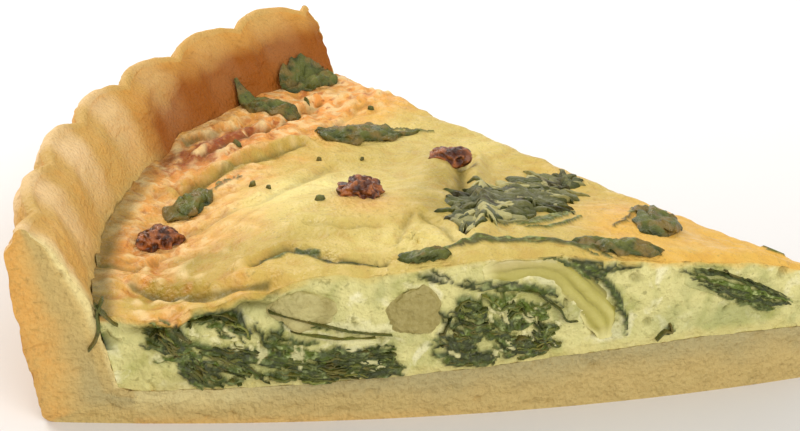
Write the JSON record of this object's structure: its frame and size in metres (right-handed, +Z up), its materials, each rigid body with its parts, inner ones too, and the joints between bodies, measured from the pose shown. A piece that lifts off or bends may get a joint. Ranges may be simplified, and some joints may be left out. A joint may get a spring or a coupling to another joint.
{
  "type": "quiche slice",
  "caption": "Slice of spinach quiche with a fluted pastry wall, egg custard, spinach showing at both cuts, and browned spots and leaves on top.",
  "frame": {"origin": "middle of the bounding box, on the floor that the slice stands on", "axes": "+X along the front cut from the pastry wall towards the slice's point, +Y away from the front cut towards the far cut's outer corner, +Z up"},
  "size_m": [0.1256, 0.1093, 0.0308],
  "materials": {
    "crust": "matt, baked, browned on the flutes",
    "custard": "soft sheen, browned in patches",
    "spinach": "wet, dark green",
    "onion": "soft, translucent look, satin",
    "folded_leaf": "wet, striped",
    "cheese": "matt, crumbly",
    "top_spinach": "baked dry at its edges, grey green",
    "leaf": "baked, dark green",
    "browned_bit": "scorched, slightly glossy"
  },
  "bodies": {
    "root": {"pastry_crust": "crust", "egg_custard": "custard", "spinach_outer": "spinach", "spinach_inner": "spinach", "onion_slice": "onion", "tip_leaf": "folded_leaf", "cheese_chunk_left": "cheese", "cheese_chunk_right": "cheese", "spinach_top": "top_spinach", "leaf_back": "leaf", "leaf_rim": "leaf", "leaf_mid": "leaf", "leaf_left": "leaf", "leaf_near_tip": "leaf", "leaf_edge": "leaf", "leaf_scrap": "leaf", "browned_bit_left": "browned_bit", "browned_bit_round": "browned_bit", "browned_bit_corner": "browned_bit"}
  },
  "joints": []
}
